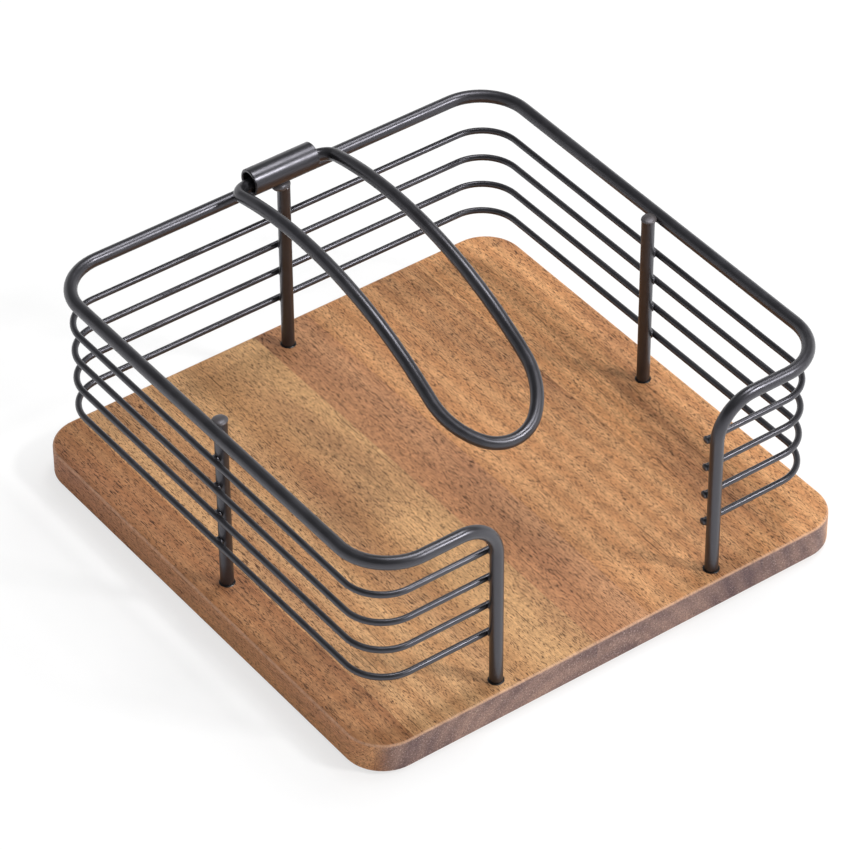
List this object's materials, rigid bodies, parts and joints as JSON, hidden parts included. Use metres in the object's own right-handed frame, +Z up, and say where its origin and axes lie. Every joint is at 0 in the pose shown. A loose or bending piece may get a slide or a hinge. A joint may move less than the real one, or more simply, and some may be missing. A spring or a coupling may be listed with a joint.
{
  "type": "napkin holder",
  "caption": "Flat open-wire napkin holder on a square wooden board, with an open front and a hinged wire hold-down arm.",
  "frame": {"origin": "centre of the footprint, on the surface that the holder stands on (centre of the bounding box, at its bottom)", "axes": "+X to the right when facing the open front, +Y from the open front to the back where the hinge is, +Z up"},
  "size_m": [0.19, 0.19, 0.0917],
  "materials": {
    "board": "oiled acacia, grain from front to back, eased edges",
    "steel": "satin black powder coat on round steel wire",
    "pad": "matt black rubber"
  },
  "bodies": {
    "holder": {"base_board": "board", "foot_pad_front_left": "pad", "foot_pad_front_right": "pad", "foot_pad_back_left": "pad", "foot_pad_back_right": "pad", "top_rail": "steel", "guard_wire_1": "steel", "guard_wire_2": "steel", "guard_wire_3": "steel", "guard_wire_4": "steel", "post_left": "steel", "post_right": "steel", "post_back": "steel", "hinge_sleeve": "steel"},
    "arm": {"press_arm": "steel"}
  },
  "joints": [
    {"name": "arm_hinge", "type": "hinge", "parent": "holder", "child": "arm", "pos_m": [0, 0.08622, 0.08472], "axis": [1, 0, 0], "range_deg": [-176, 19.5]}
  ]
}
